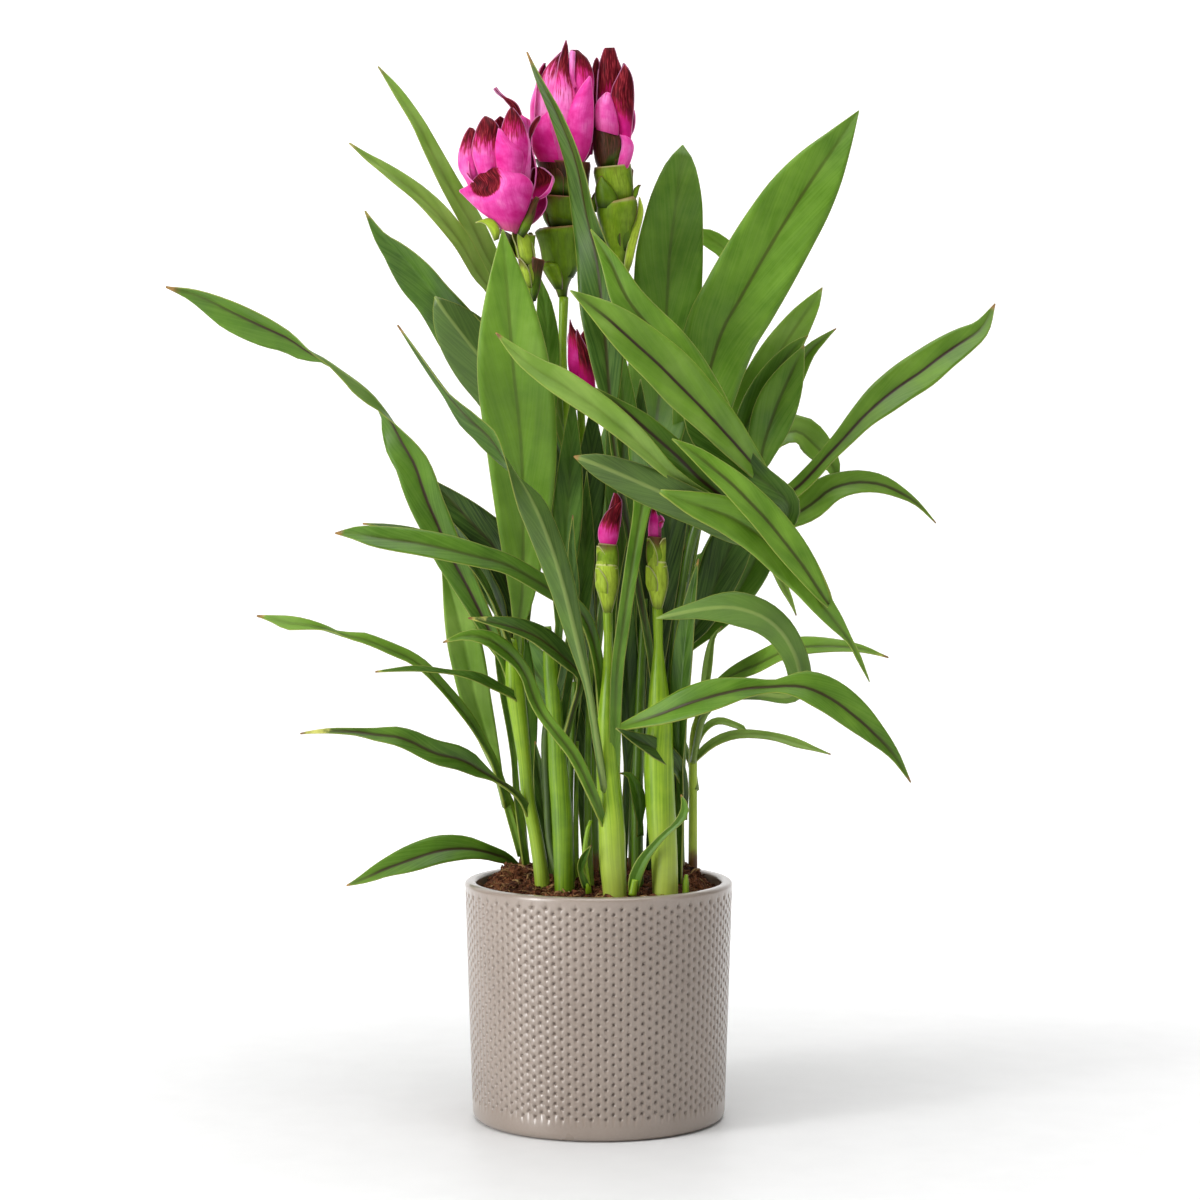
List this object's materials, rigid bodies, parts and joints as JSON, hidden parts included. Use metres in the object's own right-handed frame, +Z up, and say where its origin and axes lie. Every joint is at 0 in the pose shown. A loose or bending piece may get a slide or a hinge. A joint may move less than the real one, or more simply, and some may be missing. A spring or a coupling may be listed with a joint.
{
  "type": "potted flowering plant",
  "caption": "Flowering house plant with lance-shaped green leaves on upright shoots and cone-shaped pink flower heads, in a round dimpled cover pot.",
  "frame": {"origin": "centre of the pot's flat base, on the surface that it stands on", "axes": "+Z up along the pot's axis, -Y towards the side that the picture shows, +X to the right in it"},
  "size_m": [0.4191, 0.2144, 0.5407],
  "materials": {
    "glazed_ceramic": "satin taupe glaze over close rows of round dimples",
    "coir_soil": "rough moist reddish-brown coir crumbs",
    "leaf": "satin mid-green blade with fine parallel veins and a dark red midrib",
    "young_leaf": "satin bright yellow-green",
    "pink_bract": "soft matte pink with dark red-brown tips"
  },
  "bodies": {
    "root": {"pot": "glazed_ceramic", "soil": "coir_soil", "shoot_left_back": "leaf", "shoot_left": "leaf", "shoot_middle": "leaf", "shoot_front": "leaf", "shoot_front_right": "leaf", "shoot_right": "leaf", "shoot_back_right": "leaf", "shoot_back": "leaf", "coma_a": "pink_bract", "coma_b": "pink_bract", "coma_c": "pink_bract", "coma_d": "pink_bract", "coma_e": "pink_bract", "coma_f": "pink_bract", "sprout_front": "young_leaf", "sprout_sheath": "young_leaf", "sprout_right": "young_leaf"}
  },
  "joints": []
}
